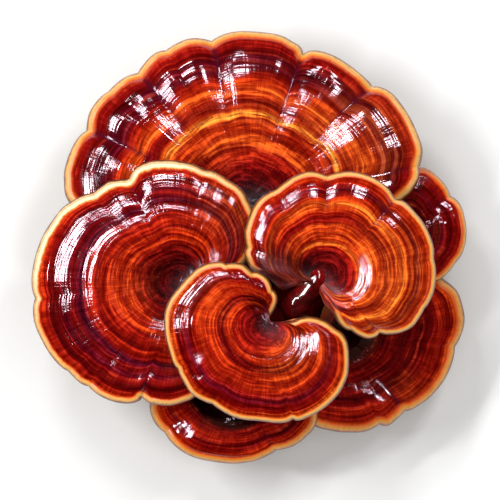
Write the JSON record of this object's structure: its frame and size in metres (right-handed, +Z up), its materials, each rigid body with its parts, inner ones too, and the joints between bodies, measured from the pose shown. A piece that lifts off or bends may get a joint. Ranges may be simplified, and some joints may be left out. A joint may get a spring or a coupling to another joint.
{
  "type": "reishi mushroom cluster",
  "caption": "Clump of glossy bracket mushrooms: kidney and fan caps with growth rings and scalloped margins, on short stems from one woody base cut flat.",
  "frame": {"origin": "middle of the flat cut under the base", "axes": "+Z up, the way the clump grew; +Y towards the big back cap; +X towards the right-hand caps"},
  "size_m": [0.2149, 0.2137, 0.1079],
  "materials": {
    "cap": "varnish-like gloss, red-brown rings, pale yellow margin, cream pores underneath",
    "stem": "varnish-like gloss, dark red-brown",
    "base": "matt woody bark, paler on the cut"
  },
  "bodies": {
    "root": {"base": "base", "stem_back": "stem", "stem_left": "stem", "stem_right": "stem", "stem_front": "stem", "stem_bottom": "stem", "stem_lower_right": "stem", "stem_far_right": "stem", "cap_back": "cap", "cap_left": "cap", "cap_right": "cap", "cap_front": "cap", "cap_bottom": "cap", "cap_lower_right": "cap", "cap_far_right": "cap"}
  },
  "joints": []
}
